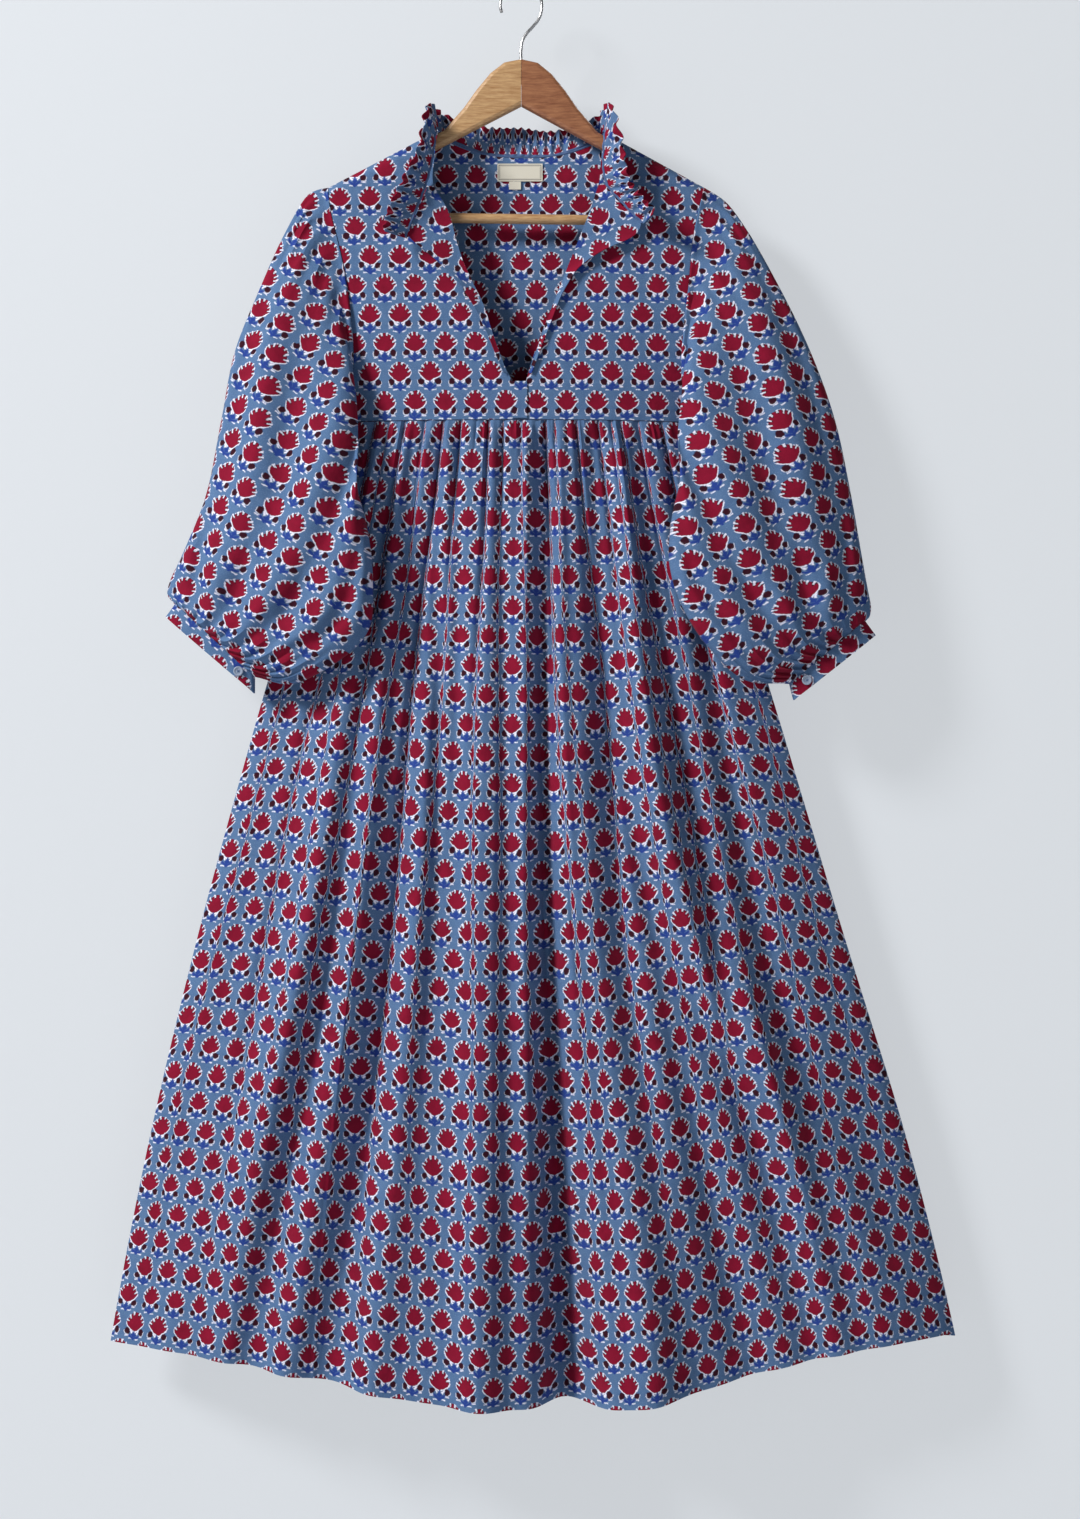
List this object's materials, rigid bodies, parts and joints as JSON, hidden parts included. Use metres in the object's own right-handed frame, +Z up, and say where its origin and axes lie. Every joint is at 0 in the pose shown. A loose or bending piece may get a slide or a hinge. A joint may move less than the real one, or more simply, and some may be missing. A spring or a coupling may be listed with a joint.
{
  "type": "printed cotton dress on a wooden hanger",
  "caption": "Midi dress with a ruffled collar, open slit neck, yoke, gathered skirt and full cuffed sleeves, hung on a wooden hanger with a trouser bar and wire hook.",
  "frame": {"origin": "inner top of the hanger's hook, where a rail or peg holds it", "axes": "+Z up, -Y out of the front of the dress, +X to the right in the front view"},
  "size_m": [0.8585, 0.1265, 1.4243],
  "materials": {
    "printed_cotton": "matt printed plain weave",
    "printed_facing": "matt printed plain weave",
    "printed_ruffle": "matt printed plain weave",
    "button_shell": "satin",
    "label_tape": "woven tape",
    "pale_wood": "varnished",
    "brown_wood": "varnished",
    "hook_steel": "bright wire"
  },
  "bodies": {
    "root": {"front_yoke_left": "printed_cotton", "front_yoke_right": "printed_cotton", "back_yoke": "printed_cotton", "skirt_front": "printed_cotton", "skirt_back": "printed_cotton", "sleeve_left": "printed_cotton", "sleeve_right": "printed_cotton", "cuff_left": "printed_cotton", "cuff_right": "printed_cotton", "cuff_button_left": "button_shell", "cuff_button_right": "button_shell", "slit_facing_left": "printed_facing", "slit_facing_right": "printed_facing", "placket": "printed_facing", "collar_ruffle": "printed_ruffle", "neck_label": "label_tape", "size_tab": "label_tape", "hanger_arm_left": "pale_wood", "hanger_arm_right": "brown_wood", "trouser_bar": "pale_wood", "hanger_hook": "hook_steel"}
  },
  "joints": []
}
